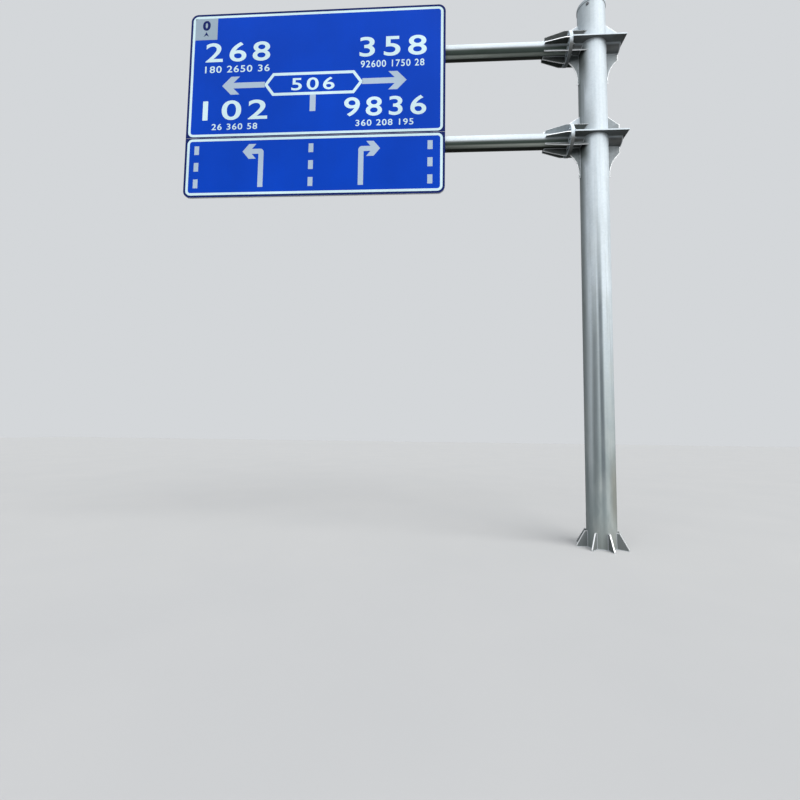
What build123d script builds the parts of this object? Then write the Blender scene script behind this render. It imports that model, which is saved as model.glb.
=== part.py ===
from build123d import *
import os

# Cantilever sign gantry: a round steel mast bolted to its footing, two parallel arms bolted to it
# by ribbed flanges, and a large road sign of aluminium trays hung on the arms.
# Origin: centre of the underside of the base flange. +Z is up, the arms run towards -X and the
# sign faces -Y. Millimetres.

# Mast
pole_diameter = 402
pole_wall = 10
pole_top = 8150

# Mast cap, a pressed lid
cap_sheet = 5
cap_skirt = 35
cap_clearance = 1
cap_rise = 22

# Base flange and its ribs
base_margin = 199
base_thickness = 30
anchor_count = 8
anchor_inset = 80
anchor_hole = 39
rib_count = 8
rib_thickness = 16
rib_turn = 4
rib_inset = 42
rib_top = 40
rib_height = 220
rib_toe = 22

# Arms, and the short pipes that carry them through the mast
arm_diameter = 219
arm_wall = 8
arm_drop = 650
arm_spacing = 1480
arm_setback = 149
arm_cap = 8
pipe_overhang = 179

# Bolted flange joint between each short pipe and its arm
flange_margin = 115.5
flange_thickness = 25
flange_standoff = 172
flange_recess = 8
flange_bolts = 8
flange_bolt_inset = 52.5
flange_bolt_hole = 26
flange_rib_count = 8
flange_rib_thickness = 10
flange_rib_inset = 2
flange_rib_length = 342
flange_rib_end = 42
flange_rib_nose = 60

# Collar plate and gussets round the mast at each arm
collar_thickness = 20
collar_margin = 44
collar_overhang = 40
gusset_thickness = 14
gusset_top = 375
gusset_flange_height = 284
gusset_tail_height = 240
gusset_tail_depth = 210
gusset_foot = 580
gusset_toe = 30
gusset_bow = 50

# Sign: two folded trays, one above the other
sign_width = 4000
sign_height = 3000
lower_tray_height = 950
tray_gap = 5
sign_right = -2237
sign_drop = 122
sheet = 3
lip_depth = 25
corner_radius = 110

# Upright rails on the back of the sign
rail_count = 8
rail_standoff = 52.5
rail_width = 70
rail_depth = 30
rail_wall = 4
rail_slot = 20
rail_end_gap = 12

# Clamps that hold the rails on the arms
clamp_width = 50
clamp_sheet = 5
saddle_half_height = 90
saddle_grip = 35
hoop_gap = 14
hoop_ear = 48

# Places that follow from the sizes above
pole_radius = pole_diameter / 2
base_radius = pole_radius + base_margin
arm_levels = {"lower": pole_top - arm_drop - arm_spacing, "upper": pole_top - arm_drop}
arm_radius = arm_diameter / 2
arm_reach = sign_width - sign_right - arm_setback - arm_cap
pipe_tail = pole_radius + pipe_overhang
flange_radius = arm_radius + flange_margin
flange_rib_radius = flange_radius - flange_rib_inset
flange_plane = pole_radius + flange_standoff
pole_side_face = flange_plane - flange_thickness
arm_side_face = flange_plane + flange_thickness
collar_half_width = pole_radius + collar_margin
collar_tail = pipe_tail + collar_overhang
sign_bottom = sum(arm_levels.values()) / 2 - sign_drop - sign_height / 2
sign_top = sign_bottom + sign_height
sign_middle = (sign_right - sign_width / 2, sign_bottom + sign_height / 2)
rail_back = -arm_radius - rail_standoff
sign_front = rail_back - rail_depth - sheet
rail_spacing = sign_width / rail_count
rail_places = [sign_middle[0] + (n - (rail_count - 1) / 2) * rail_spacing for n in range(rail_count)]
saddle_rim = saddle_grip - arm_radius

os.makedirs("parts", exist_ok=True)


def write(piece, node):
    piece.part.label = node
    export_step(piece.part, f"parts/{node}.step")


def upright_plane(angle):
    """Plane through the mast's axis: x runs outwards at the angle, y runs up."""
    turned = Vector(1, 0, 0).rotate(Axis.Z, angle)
    return Plane(origin=(0, 0, 0), x_dir=turned, z_dir=turned.cross(Vector(0, 0, 1)))


def arm_plane(level, angle):
    """Plane through an arm's axis: x runs out along the arm, y runs outwards at the angle from up."""
    outwards = Vector(0, 0, 1).rotate(Axis.X, angle)
    along = Vector(-1, 0, 0)
    return Plane(origin=(0, 0, level), x_dir=along, z_dir=along.cross(outwards))


# Base flange, a whole disc with its anchor holes
with BuildPart() as base_flange:
    with BuildSketch():
        Circle(base_radius)
        with PolarLocations(base_radius - anchor_inset, anchor_count, start_angle=180 / anchor_count):
            Circle(anchor_hole / 2, mode=Mode.SUBTRACT)
    extrude(amount=base_thickness)
write(base_flange, "base_flange")

# Ribs that stand on the base flange against the mast
for number in range(rib_count):
    with BuildPart() as base_rib:
        with BuildSketch(upright_plane(rib_turn + number * 360 / rib_count)):
            with BuildLine():
                Polyline(
                    (pole_radius - rib_toe, base_thickness),
                    (base_radius - rib_inset, base_thickness),
                    (base_radius - rib_inset, base_thickness + rib_toe),
                    (pole_radius + rib_top, base_thickness + rib_height),
                    (pole_radius - rib_toe, base_thickness + rib_height),
                    close=True,
                )
            make_face()
        extrude(amount=rib_thickness / 2, both=True)
        with BuildSketch():
            Circle(pole_radius)
        extrude(amount=base_thickness + rib_height, mode=Mode.SUBTRACT)
    write(base_rib, f"base_rib_{number + 1}")

# Mast, which stands on the base flange, with a pair of holes for each short pipe
with BuildPart() as pole_tube:
    with BuildSketch(Plane.XY.offset(base_thickness)):
        Circle(pole_radius)
        Circle(pole_radius - pole_wall, mode=Mode.SUBTRACT)
    extrude(amount=pole_top - base_thickness)
    for level in arm_levels.values():
        with BuildSketch(Plane.YZ):
            with Locations((0, level)):
                Circle(arm_radius)
        extrude(amount=pole_radius, both=True, mode=Mode.SUBTRACT)
write(pole_tube, "pole_tube")

# Cap: a dished lid that sits on the mast's rim, with a skirt that hangs round it
with BuildPart() as pole_cap:
    with BuildSketch(Plane.XZ):
        skirt_inner = pole_radius + cap_clearance
        skirt_outer = skirt_inner + cap_sheet
        bore_radius = pole_radius - pole_wall
        with BuildLine():
            Line((0, pole_top + cap_rise), (0, pole_top + cap_rise + cap_sheet))
            TangentArc(
                (0, pole_top + cap_rise + cap_sheet), (skirt_outer, pole_top + cap_sheet), tangent=(1, 0)
            )
            Polyline(
                (skirt_outer, pole_top + cap_sheet),
                (skirt_outer, pole_top - cap_skirt),
                (skirt_inner, pole_top - cap_skirt),
                (skirt_inner, pole_top),
                (bore_radius, pole_top),
            )
            TangentArc((0, pole_top + cap_rise), (bore_radius, pole_top), tangent=(1, 0))
        make_face()
    revolve(axis=Axis.Z)
write(pole_cap, "pole_cap")

for side, level in arm_levels.items():
    # Short pipe that runs through the mast, and the disc that closes its far end
    with BuildPart() as through_pipe:
        with BuildSketch(Plane.YZ.offset(-(flange_plane - flange_recess))):
            with Locations((0, level)):
                Circle(arm_radius)
                Circle(arm_radius - arm_wall, mode=Mode.SUBTRACT)
        extrude(amount=flange_plane - flange_recess + pipe_tail)
    write(through_pipe, f"{side}_through_pipe")

    with BuildPart() as pipe_end:
        with BuildSketch(Plane.YZ.offset(pipe_tail)):
            with Locations((0, level)):
                Circle(arm_radius)
        extrude(amount=arm_cap)
    write(pipe_end, f"{side}_pipe_end_disc")

    # The two flanges of the joint, face to face
    for name, face in (("pole_flange", flange_plane), ("arm_flange", arm_side_face)):
        with BuildPart() as joint_flange:
            with BuildSketch(Plane.YZ.offset(-face)):
                with Locations((0, level)):
                    Circle(flange_radius)
                    Circle(arm_radius, mode=Mode.SUBTRACT)
                    bolt_circle = flange_radius - flange_bolt_inset
                    with PolarLocations(bolt_circle, flange_bolts, start_angle=180 / flange_bolts):
                        Circle(flange_bolt_hole / 2, mode=Mode.SUBTRACT)
            extrude(amount=flange_thickness)
        write(joint_flange, f"{side}_{name}")

    # Level collar plate round the mast and the short pipe
    with BuildPart() as collar_plate:
        with BuildSketch(Plane.XY.offset(level - collar_thickness / 2)):
            with Locations(((collar_tail - pole_side_face) / 2, 0)):
                Rectangle(collar_tail + pole_side_face, 2 * collar_half_width)
            Circle(pole_radius, mode=Mode.SUBTRACT)
        extrude(amount=collar_thickness)
        with BuildSketch(Plane.YZ.offset(-pole_side_face)):
            with Locations((0, level)):
                Circle(arm_radius)
        extrude(amount=pole_side_face + pipe_tail + arm_cap, mode=Mode.SUBTRACT)
    write(collar_plate, f"{side}_collar_plate")

    # Upright gussets on the arm's side of the mast, above and below the short pipe
    with BuildPart() as arm_side_gussets:
        with BuildSketch(Plane.XZ):
            with BuildLine():
                Polyline(
                    (0, level),
                    (-pole_side_face, level),
                    (-pole_side_face, level + gusset_flange_height),
                    (-pole_radius, level + gusset_top),
                    (0, level + gusset_top),
                    close=True,
                )
            make_face()
            with BuildLine():
                foot = (-pole_radius - gusset_toe, level - gusset_foot)
                heel = (-pole_side_face, level - flange_radius)
                Line((0, level), (-pole_side_face, level))
                Line((-pole_side_face, level), heel)
                SagittaArc(heel, foot, gusset_bow)
                Line(foot, (0, level - gusset_foot))
                Line((0, level - gusset_foot), (0, level))
            make_face()
        extrude(amount=gusset_thickness / 2, both=True)
        with BuildSketch(Plane.YZ):
            with Locations((0, level)):
                Circle(arm_radius)
        extrude(amount=-pole_side_face, mode=Mode.SUBTRACT)
        with BuildSketch(Plane.XY.offset(level - gusset_foot)):
            Circle(pole_radius)
        extrude(amount=gusset_foot + gusset_top, mode=Mode.SUBTRACT)
    write(arm_side_gussets, f"{side}_arm_side_gussets")

    # Upright gussets on the far side, with the same bowed foot
    with BuildPart() as far_side_gussets:
        with BuildSketch(Plane.XZ):
            with BuildLine():
                Polyline(
                    (0, level),
                    (pipe_tail, level),
                    (pipe_tail, level + gusset_tail_height),
                    (pole_radius, level + gusset_top),
                    (0, level + gusset_top),
                    close=True,
                )
            make_face()
            with BuildLine():
                foot = (pole_radius + gusset_toe, level - gusset_foot)
                heel = (pipe_tail, level - gusset_tail_depth)
                Line((0, level), (pipe_tail, level))
                Line((pipe_tail, level), heel)
                SagittaArc(heel, foot, -gusset_bow)
                Line(foot, (0, level - gusset_foot))
                Line((0, level - gusset_foot), (0, level))
            make_face()
        extrude(amount=gusset_thickness / 2, both=True)
        with BuildSketch(Plane.YZ):
            with Locations((0, level)):
                Circle(arm_radius)
        extrude(amount=pipe_tail, mode=Mode.SUBTRACT)
        with BuildSketch(Plane.XY.offset(level - gusset_foot)):
            Circle(pole_radius)
        extrude(amount=gusset_foot + gusset_top, mode=Mode.SUBTRACT)
    write(far_side_gussets, f"{side}_far_side_gussets")

    # Slanting ribs between the mast and its flange, halfway between the collar and the gussets
    with BuildPart() as slanting_ribs:
        for number in range(1, flange_rib_count, 2):
            with BuildSketch(arm_plane(level, number * 360 / flange_rib_count)):
                with Locations((pole_side_face / 2, flange_rib_radius / 2)):
                    Rectangle(pole_side_face, flange_rib_radius)
            extrude(amount=flange_rib_thickness / 2, both=True)
        with BuildSketch(Plane.YZ):
            with Locations((0, level)):
                Circle(arm_radius)
        extrude(amount=-pole_side_face, mode=Mode.SUBTRACT)
        with BuildSketch(Plane.XY.offset(level - flange_radius)):
            Circle(pole_radius)
        extrude(amount=2 * flange_radius, mode=Mode.SUBTRACT)
    write(slanting_ribs, f"{side}_slanting_ribs")

    # Tapered ribs between the arm and its flange
    with BuildPart() as arm_ribs:
        for number in range(flange_rib_count):
            with BuildSketch(arm_plane(level, number * 360 / flange_rib_count)):
                with BuildLine():
                    Polyline(
                        (arm_side_face, arm_radius - flange_rib_end),
                        (arm_side_face, flange_rib_radius),
                        (arm_side_face + flange_rib_nose, flange_rib_radius),
                        (arm_side_face + flange_rib_length, arm_radius + flange_rib_end),
                        (arm_side_face + flange_rib_length, arm_radius - flange_rib_end),
                        close=True,
                    )
                make_face()
            extrude(amount=flange_rib_thickness / 2, both=True)
        with BuildSketch(Plane.YZ.offset(-arm_side_face)):
            with Locations((0, level)):
                Circle(arm_radius)
        extrude(amount=-flange_rib_length, mode=Mode.SUBTRACT)
    write(arm_ribs, f"{side}_arm_ribs")

    # Arm and its end cap
    with BuildPart() as arm_tube:
        with BuildSketch(Plane.YZ.offset(-arm_reach)):
            with Locations((0, level)):
                Circle(arm_radius)
                Circle(arm_radius - arm_wall, mode=Mode.SUBTRACT)
        extrude(amount=arm_reach - flange_plane - flange_recess)
    write(arm_tube, f"{side}_arm_tube")

    with BuildPart() as arm_end:
        with BuildSketch(Plane.YZ.offset(-arm_reach - arm_cap)):
            with Locations((0, level)):
                Circle(arm_radius)
        extrude(amount=arm_cap)
    write(arm_end, f"{side}_arm_end_cap")

    # Clamps: a saddle bracket between rail and arm, and a hoop behind the arm
    with BuildPart() as clamps:
        for rail_x in rail_places:
            with BuildSketch(Plane.YZ.offset(rail_x - clamp_width / 2)):
                with Locations(((rail_back + saddle_rim) / 2, level)):
                    Rectangle(saddle_rim - rail_back, 2 * saddle_half_height)
            extrude(amount=clamp_width)
            with BuildSketch(Plane.YZ.offset(rail_x - clamp_width / 2 + clamp_sheet)):
                with Locations(((rail_back + clamp_sheet + saddle_rim) / 2, level)):
                    Rectangle(saddle_rim - rail_back - clamp_sheet, 2 * saddle_half_height)
            extrude(amount=clamp_width - 2 * clamp_sheet, mode=Mode.SUBTRACT)
        with BuildSketch(Plane.YZ.offset(-arm_reach)):
            with Locations((0, level)):
                Circle(arm_radius)
        extrude(amount=arm_reach, mode=Mode.SUBTRACT)
        for rail_x in rail_places:
            with BuildSketch(Plane.YZ.offset(rail_x - clamp_width / 2)):
                with Locations((0, level)):
                    Circle(arm_radius + clamp_sheet)
                ears = (arm_radius + hoop_ear / 2, -arm_radius - hoop_ear / 2)
                with Locations(*[(0, level + ear) for ear in ears]):
                    Rectangle(2 * (hoop_gap + clamp_sheet), hoop_ear)
                with Locations((0, level)):
                    Circle(arm_radius, mode=Mode.SUBTRACT)
                with Locations((hoop_gap - arm_diameter, level)):
                    Rectangle(2 * arm_diameter, 2 * arm_diameter, mode=Mode.SUBTRACT)
            extrude(amount=clamp_width)
    write(clamps, f"{side}_clamps")

# Sign trays: sheet folded back along its outer edges, open where the two trays meet
trays = {
    "lower": (sign_bottom, sign_bottom + lower_tray_height),
    "upper": (sign_bottom + lower_tray_height + tray_gap, sign_top),
}
for side, (bottom, top) in trays.items():
    with BuildPart() as sign_tray:
        with BuildSketch(Plane.XZ.offset(-sign_front - sheet - lip_depth)):
            with Locations(sign_middle):
                RectangleRounded(sign_width, sign_height, corner_radius)
            with Locations((sign_middle[0], (bottom + top) / 2)):
                Rectangle(sign_width, top - bottom, mode=Mode.INTERSECT)
        extrude(amount=sheet + lip_depth)
        with BuildSketch(Plane.XZ.offset(-sign_front - sheet - lip_depth)):
            with Locations(sign_middle):
                RectangleRounded(sign_width - 2 * sheet, sign_height - 2 * sheet, corner_radius - sheet)
        extrude(amount=lip_depth, mode=Mode.SUBTRACT)
    write(sign_tray, f"sign_tray_{side}")

# Rails: slotted channels, their slots turned to the arms
for number, rail_x in enumerate(rail_places):
    with BuildPart() as sign_rail:
        with BuildSketch(Plane.XY.offset(sign_bottom + sheet + rail_end_gap)):
            with Locations((rail_x, rail_back - rail_depth / 2)):
                Rectangle(rail_width, rail_depth)
                Rectangle(rail_width - 2 * rail_wall, rail_depth - 2 * rail_wall, mode=Mode.SUBTRACT)
            with Locations((rail_x, rail_back - rail_wall / 2)):
                Rectangle(rail_slot, rail_wall, mode=Mode.SUBTRACT)
        extrude(amount=sign_height - 2 * (sheet + rail_end_gap))
    write(sign_rail, f"sign_rail_{number + 1}")
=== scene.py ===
import bmesh
import bpy
import math
from mathutils import Matrix, Vector


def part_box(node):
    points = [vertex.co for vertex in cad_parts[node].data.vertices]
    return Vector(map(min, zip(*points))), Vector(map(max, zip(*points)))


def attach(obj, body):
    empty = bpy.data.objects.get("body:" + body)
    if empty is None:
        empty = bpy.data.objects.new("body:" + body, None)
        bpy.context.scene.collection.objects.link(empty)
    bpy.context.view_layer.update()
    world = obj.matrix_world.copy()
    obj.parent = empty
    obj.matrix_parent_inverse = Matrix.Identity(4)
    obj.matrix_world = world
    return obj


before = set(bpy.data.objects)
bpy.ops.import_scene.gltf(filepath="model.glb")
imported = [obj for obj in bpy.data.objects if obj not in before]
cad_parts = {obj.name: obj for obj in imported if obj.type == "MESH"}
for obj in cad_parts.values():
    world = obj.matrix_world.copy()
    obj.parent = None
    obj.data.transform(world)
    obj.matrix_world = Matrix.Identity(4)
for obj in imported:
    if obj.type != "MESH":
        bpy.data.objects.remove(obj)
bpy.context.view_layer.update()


# The setting: a pale floor level with the top of the base flange, which the ground hides, a broad
# soft lamp in front to the right, a fainter one to the left, one overhead and an even pale surround.
# The camera stands low in front of the sign's middle and looks slightly up.
camera_place = (-2.502, -6.340, 1.614)
camera_lens = 19.35
camera_sensor = 36
camera_heading = math.radians(3.35)
camera_tilt = math.radians(4.15)
camera_roll = math.radians(0.73)

camera_data = bpy.data.cameras.new("camera")
camera_data.lens = camera_lens
camera_data.sensor_width = camera_sensor
camera = bpy.data.objects.new("camera", camera_data)
bpy.context.scene.collection.objects.link(camera)
camera.matrix_world = (
    Matrix.Translation(camera_place)
    @ Matrix.Rotation(camera_heading, 4, "Z")
    @ Matrix.Rotation(math.pi / 2 + camera_tilt, 4, "X")
    @ Matrix.Rotation(camera_roll, 4, "Z")
)
bpy.context.scene.camera = camera
bpy.context.scene.view_settings.view_transform = "Standard"


def fill(tree, made, inputs):
    """Gives a node's sockets numbers, colours or links."""
    for key, value in inputs.items():
        socket = made.inputs[key]
        if isinstance(value, bpy.types.NodeSocket):
            tree.links.new(value, socket)
        elif socket.type == "RGBA":
            socket.default_value = (*value, 1.0)
        else:
            socket.default_value = value


def node(tree, kind, inputs=None, **settings):
    """Adds a node: its sockets get the inputs, and the other settings are its own."""
    made = tree.nodes.new("ShaderNode" + kind)
    for key, value in settings.items():
        setattr(made, key, value)
    fill(tree, made, inputs or {})
    return made


def figured(tree, operation, *values, **settings):
    """A value worked out from others by one operation."""
    inputs = dict(enumerate(values))
    return node(tree, "Math", inputs, operation=operation, **settings).outputs["Value"]


def spread(tree, value, low, high, to_low=0.0, to_high=1.0):
    """Stretches a value's range to another, and holds it at the ends."""
    ends = {"Value": value, "From Min": low, "From Max": high, "To Min": to_low, "To Max": to_high}
    return node(tree, "MapRange", ends).outputs["Result"]


def tinted(tree, share, under, over):
    """Lays one colour over another by a share."""
    sockets = {"Factor": share, 6: under, 7: over}
    return node(tree, "Mix", sockets, data_type="RGBA").outputs[2]


def noise(tree, place, scale, detail, roughness=0.5):
    """Soft random clouds."""
    inputs = {"Vector": place, "Scale": scale, "Detail": detail, "Roughness": roughness}
    return node(tree, "TexNoise", inputs).outputs["Fac"]


def new_finish(name):
    """A new material, with its node tree, its shader and the place on the object."""
    finish = bpy.data.materials.new(name)
    finish.use_nodes = True
    tree = finish.node_tree
    return finish, tree, tree.nodes["Principled BSDF"], node(tree, "TexCoord").outputs["Object"]


def seen_directly(tree):
    """One for rays from the camera and for reflections, nought for the light that fills shadows."""
    path = node(tree, "LightPath").outputs
    looked = figured(tree, "ADD", path["Is Camera Ray"], path["Is Glossy Ray"])
    return figured(tree, "ADD", looked, path["Is Transmission Ray"], use_clamp=True)


surround_colour = (0.94, 0.97, 1.0)
surround_fill = 0.15
surround_seen = 0.70

world = bpy.data.worlds.new("pale_surround")
world.use_nodes = True
surround = world.node_tree
fill(surround, surround.nodes["Background"], {
    "Color": surround_colour,
    "Strength": spread(surround, seen_directly(surround), 0.0, 1.0, surround_fill, surround_seen),
})
bpy.context.scene.world = world

# Each lamp: name, bearing from the front to the right, height and width in degrees, energy, colour.
lamps = (
    ("key_lamp", 43, 35, 60, 2.8, (1.0, 0.985, 0.96)),
    ("fill_lamp", -22, 25, 60, 1.25, (0.95, 0.975, 1.0)),
    ("overhead_lamp", 0, 88, 80, 1.15, (0.97, 0.985, 1.0)),
)
for name, bearing, height, width, energy, colour in lamps:
    lamp_data = bpy.data.lights.new(name, "SUN")
    lamp_data.energy = energy
    lamp_data.angle = math.radians(width)
    lamp_data.color = colour
    lamp = bpy.data.objects.new(name, lamp_data)
    bpy.context.scene.collection.objects.link(lamp)
    lamp.rotation_euler = (math.radians(90 - height), 0.0, math.radians(bearing))

floor_reach = 60.0
floor_lift = 0.0015
floor_pale = ((0.52, 0.53, 0.54), (0.565, 0.57, 0.575))
floor_dim = (0.07, 0.07, 0.065)

ground_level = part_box("base_flange")[1].z + floor_lift
floor_shape = bmesh.new()
bmesh.ops.create_grid(floor_shape, x_segments=1, y_segments=1, size=floor_reach,
                      matrix=Matrix.Translation((0.0, 0.0, ground_level)))
floor_mesh = bpy.data.meshes.new("floor")
floor_shape.to_mesh(floor_mesh)
floor_shape.free()
floor = bpy.data.objects.new("floor", floor_mesh)
bpy.context.scene.collection.objects.link(floor)
floor_finish, floor_tree, floor_shader, floor_place = new_finish("pale_floor")
floor_cloud = noise(floor_tree, floor_place, scale=0.6, detail=5.0)
floor_colour = tinted(floor_tree, floor_cloud, *floor_pale)
fill(floor_tree, floor_shader, {
    "Base Color": tinted(floor_tree, seen_directly(floor_tree), floor_dim, floor_colour),
    "Roughness": 0.9,
    "Specular IOR Level": 0.1,
})
floor_mesh.materials.append(floor_finish)


# Foot of the mast: a round flange with eight tapered ribs, all plate, welded to the mast and then
# dipped in zinc. Near the ground it carries splashed dirt and painted shade; the ribs' faces carry
# painted shade and their cut edges a painted highlight.
zinc_dark = (0.52, 0.595, 0.65)
zinc_pale = (0.69, 0.77, 0.83)
zinc_spangle = (0.80, 0.87, 0.92)
# Painted highlight for the cut edges and rims of plates.
painted_edge_highlight = (0.93, 0.95, 0.965)
# Painted shade for faces that turn down.
painted_underside_shade = (0.08, 0.073, 0.062)
# Painted shade for the faces of plates: grey away from the arms, near black on the arm side high up.
painted_face_shade_grey = (0.15, 0.165, 0.17)
painted_face_shade_black = (0.07, 0.08, 0.075)
even_grain = (1.0, 1.0, 1.0)
# How far round a plate's rim the painted highlight reaches.
rim_width = 0.016
# Height above which the faces of plates carry no painted shade.
top_plates_unshaded_above = 7.68


def stretched(tree, place, scale):
    """The place on the object, stretched by a scale along each axis."""
    return node(tree, "Mapping", {"Vector": place, "Scale": scale}).outputs["Vector"]


def axes(tree, vector):
    """The X, Y and Z of a vector."""
    return node(tree, "SeparateXYZ", {"Vector": vector}).outputs


def along(tree, vector, direction):
    """How far a vector goes along a direction."""
    inputs = {0: vector, 1: direction}
    return node(tree, "VectorMath", inputs, operation="DOT_PRODUCT").outputs["Value"]


def unit(tree, parts):
    """The direction of a vector given by its parts."""
    vector = node(tree, "CombineXYZ", parts).outputs["Vector"]
    return node(tree, "VectorMath", {0: vector}, operation="NORMALIZE").outputs["Vector"]


def product(tree, first, *others):
    """Values multiplied together."""
    for other in others:
        first = figured(tree, "MULTIPLY", first, other)
    return first


def largest(tree, first, *others):
    """The largest of some values."""
    for other in others:
        first = figured(tree, "MAXIMUM", first, other)
    return first


def bumped(tree, height, strength, distance, **under):
    """A normal that follows a height."""
    inputs = {"Height": height, "Strength": strength, "Distance": distance, **under}
    return node(tree, "Bump", inputs).outputs["Normal"]


def cut_plate(tree, place, cloud, across, face_shade, unshaded_above):
    """Where a plate's faces get painted shade, the colour of that, and where its cut edges and rims
    get a painted highlight.
    """
    facing = node(tree, "NewGeometry").outputs["Normal"]
    lean = figured(tree, "ABSOLUTE", along(tree, facing, across(tree, place)))
    upward = axes(tree, facing)["Z"]
    # Painted highlight on the cut edges, and on the rims that the bevel rounds.
    edge = product(tree, spread(tree, lean, 0.7, 0.4), spread(tree, upward, -0.95, -0.7, 0.0, 0.9))
    eased = node(tree, "Bevel", {"Radius": rim_width}, samples=6).outputs["Normal"]
    rim = spread(tree, along(tree, facing, eased), 0.985, 0.90, 0.0, 0.9)
    parts = axes(tree, place)
    # Painted shade on the faces below a height, darker on the arm side high up.
    face_shade_by_height = spread(tree, parts["Z"], unshaded_above, unshaded_above - 0.18, 0.1, face_shade)
    dull = product(tree, spread(tree, lean, 0.4, 0.7), face_shade_by_height,
                   spread(tree, cloud, 0.35, 0.62, 1.0, 0.72))
    shade_by_arms = product(tree, spread(tree, parts["X"], 0.15, -0.15),
                      spread(tree, parts["Z"], 1.0, 3.0))
    return dull, tinted(tree, shade_by_arms, painted_face_shade_grey, painted_face_shade_black), largest(tree, edge, rim)


def galvanised(name, grain=even_grain, stains=(), across=None, downward_shade=1.0, face_shade=0.95,
               unshaded_above=top_plates_unshaded_above):
    """Hot-dip zinc: cloudy blue-grey, drawn out along the grain and spangled.

    Painted shade darkens what faces down, and each stain gives a share and a colour to lay over the
    rest.
    Where the direction across a plate is given, painted shade darkens its faces below a given
    height, and a painted highlight brightens its cut edges and rims.
    """
    finish, tree, shader, place = new_finish(name)
    cloud = noise(tree, stretched(tree, place, grain), scale=3.2, detail=8.0, roughness=0.62)
    fine = noise(tree, place, scale=90.0, detail=4.0)
    spangle = node(tree, "TexVoronoi", {"Vector": place, "Scale": 46.0}).outputs["Color"]
    spangle = node(tree, "SeparateColor", {"Color": spangle}).outputs["Red"]
    colour = tinted(tree, spread(tree, cloud, 0.32, 0.70), zinc_dark, zinc_pale)
    colour = tinted(tree, spread(tree, spangle, 0.0, 1.0, 0.0, 0.28), colour, zinc_spangle)
    # Painted shade: faces that turn down are darkened and lose their sheen.
    upward = axes(tree, node(tree, "NewGeometry").outputs["Normal"])["Z"]
    under = product(tree, spread(tree, upward, -0.08, -0.40, 0.0, downward_shade),
                    spread(tree, cloud, 0.25, 0.6, 0.78, 0.95))
    colour = tinted(tree, under, colour, painted_underside_shade)
    for stain in stains:
        share, dirt = stain(tree, place, cloud)
        colour = tinted(tree, share, colour, dirt)
    metal = spread(tree, under, 0.0, 1.0, 0.12, 0.0)
    rough = figured(tree, "ADD", spread(tree, cloud, 0.3, 0.7, 0.54, 0.68),
                    spread(tree, under, 0.0, 1.0, 0.0, 0.2))
    # Painted shade on the faces of plates, and a painted highlight on their cut edges.
    if across is not None:
        dull, shade, edge = cut_plate(tree, place, cloud, across, face_shade, unshaded_above)
        colour = tinted(tree, edge, tinted(tree, dull, colour, shade), painted_edge_highlight)
        metal = largest(tree, metal, product(tree, edge, 0.6))
        rough = spread(tree, edge, 0.0, 1.0, rough, 0.4)
    waves = bumped(tree, cloud, strength=0.35, distance=0.006)
    fill(tree, shader, {
        "Base Color": colour,
        "Metallic": metal,
        "Roughness": rough,
        "Specular IOR Level": spread(tree, under, 0.0, 1.0, 0.32, 0.1),
        "Normal": bumped(tree, fine, strength=0.3, distance=0.0008, Normal=waves),
    })
    return finish


def dress(names, finish):
    """Gives CAD nodes their finish."""
    for name in names:
        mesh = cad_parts[name].data
        mesh.materials.clear()
        mesh.materials.append(finish)


def splashed(tree, place, cloud):
    """Dirt thrown up from the ground, thick at the foot, and higher on the side without arms."""
    parts = axes(tree, place)
    foot = product(tree, spread(tree, parts["Z"], 0.55, 0.03, 0.0, 0.6),
                   spread(tree, cloud, 0.3, 0.65))
    side = product(tree, spread(tree, parts["Z"], 1.45, 1.0, 0.0, 0.62),
                   spread(tree, parts["X"], 0.03, 0.10),
                   spread(tree, parts["Z"], 0.3, 0.6, 0.4, 1.0))
    return largest(tree, foot, side), (0.215, 0.21, 0.175)


def shade_low_down(tree, place, cloud):
    """Painted shade: the lower gantry is made greyer and slightly green towards the ground, for the
    dark surroundings it reflects.
    """
    return spread(tree, axes(tree, place)["Z"], 3.7, 1.0, 0.0, 0.92), (0.245, 0.29, 0.29)


def blotched(tree, place, cloud):
    """Pale and dark blotches, longer than wide, that show more towards the ground."""
    blotch = noise(tree, stretched(tree, place, (7.0, 7.0, 2.2)), scale=1.0, detail=6.0)
    share = product(tree, spread(tree, blotch, 0.46, 0.66),
                    spread(tree, axes(tree, place)["Z"], 6.0, 1.5, 0.1, 0.55))
    return share, (0.47, 0.51, 0.51)


def round_mast(tree, place):
    """The direction round the mast, which is across every plate that stands out from it."""
    parts = axes(tree, place)
    return unit(tree, {"X": parts["Y"], "Y": product(tree, parts["X"], -1.0)})


foot_zinc = galvanised("zinc_on_foot", even_grain, [shade_low_down, blotched, splashed], round_mast)
rib_names = sorted(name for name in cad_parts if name.startswith("base_rib"))
dress(["base_flange", *rib_names], foot_zinc)


def weld_finish():
    """Zinc over a weld bead: duller than the plate, with the ripples of the pass."""
    finish, tree, shader, place = new_finish("zinc_on_welds")
    mottle = noise(tree, place, scale=30.0, detail=5.0)
    ripple = noise(tree, place, scale=160.0, detail=2.0)
    fill(tree, shader, {
        "Base Color": tinted(tree, mottle, (0.30, 0.325, 0.34), (0.56, 0.60, 0.63)),
        "Metallic": 0.4,
        "Roughness": spread(tree, mottle, 0.3, 0.7, 0.45, 0.62),
        "Normal": bumped(tree, ripple, strength=0.8, distance=0.002),
    })
    return finish


weld_zinc = weld_finish()
bead_sides = 8


def bead_line(shape, start, end, leg):
    """A straight run of weld, half sunk in the corner that it fills."""
    run = Vector(end) - Vector(start)
    turned = run.to_track_quat("Z", "Y").to_matrix().to_4x4()
    place = Matrix.Translation((Vector(start) + Vector(end)) / 2) @ turned
    bmesh.ops.create_cone(shape, cap_ends=True, segments=bead_sides, radius1=leg, radius2=leg,
                          depth=run.length, matrix=place)


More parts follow.
